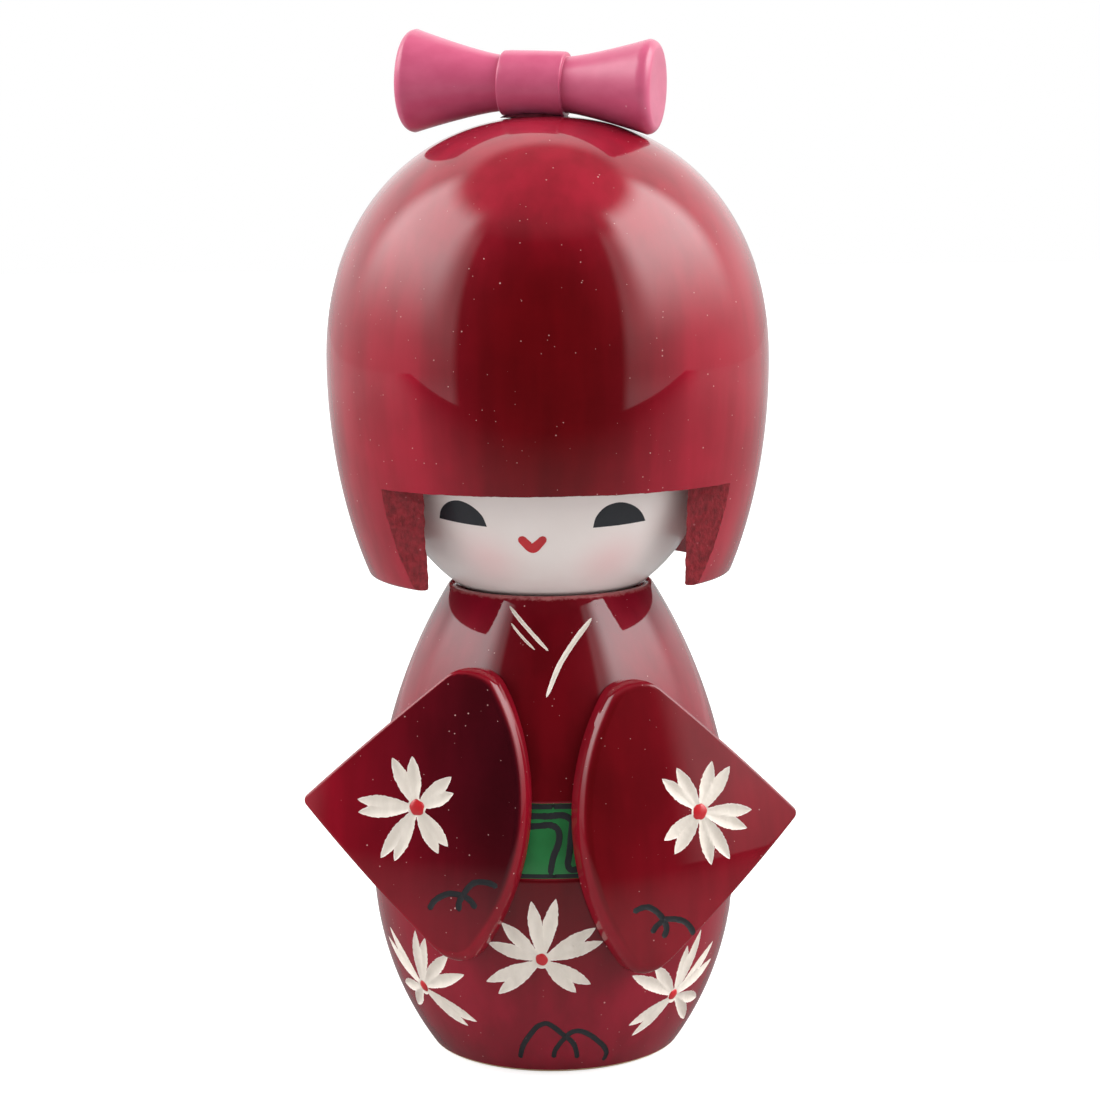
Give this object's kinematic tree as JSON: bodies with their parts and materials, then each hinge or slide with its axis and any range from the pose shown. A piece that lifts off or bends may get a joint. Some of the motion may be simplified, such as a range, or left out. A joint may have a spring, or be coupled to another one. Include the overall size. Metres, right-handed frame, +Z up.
{
  "type": "kokeshi doll",
  "caption": "Turned wooden kokeshi doll with a turning ball head under a bobbed hair cap, a robe body with sleeves, and a spool bow.",
  "frame": {"origin": "centre of the flat base, on the axis of the turned body", "axes": "+Z up along the doll's axis, -Y is the way the face looks, +X to the right of someone facing the doll"},
  "size_m": [0.0595, 0.0546, 0.1267],
  "materials": {
    "robe_lacquer": "deep red translucent lacquer over turned wood, high gloss",
    "hair_lacquer": "deep red translucent lacquer over turned wood, high gloss",
    "face_paint": "off-white paint under clear gloss",
    "bow_paint": "pink paint, semi-gloss",
    "bare_wood": "unfinished birch"
  },
  "bodies": {
    "body": {"kimono_body": "robe_lacquer", "neck_dowel": "bare_wood", "sleeve_left": "robe_lacquer", "sleeve_right": "robe_lacquer", "sleeve_left_peg": "bare_wood", "sleeve_right_peg": "bare_wood"},
    "head": {"head": "face_paint", "hair_cap": "hair_lacquer", "bow": "bow_paint", "bow_pin": "bare_wood"}
  },
  "joints": [
    {"name": "head_turn", "type": "hinge", "parent": "body", "child": "head", "pos_m": [0, 0, 0.0553], "axis": [0, 0, 1], "continuous": true}
  ]
}
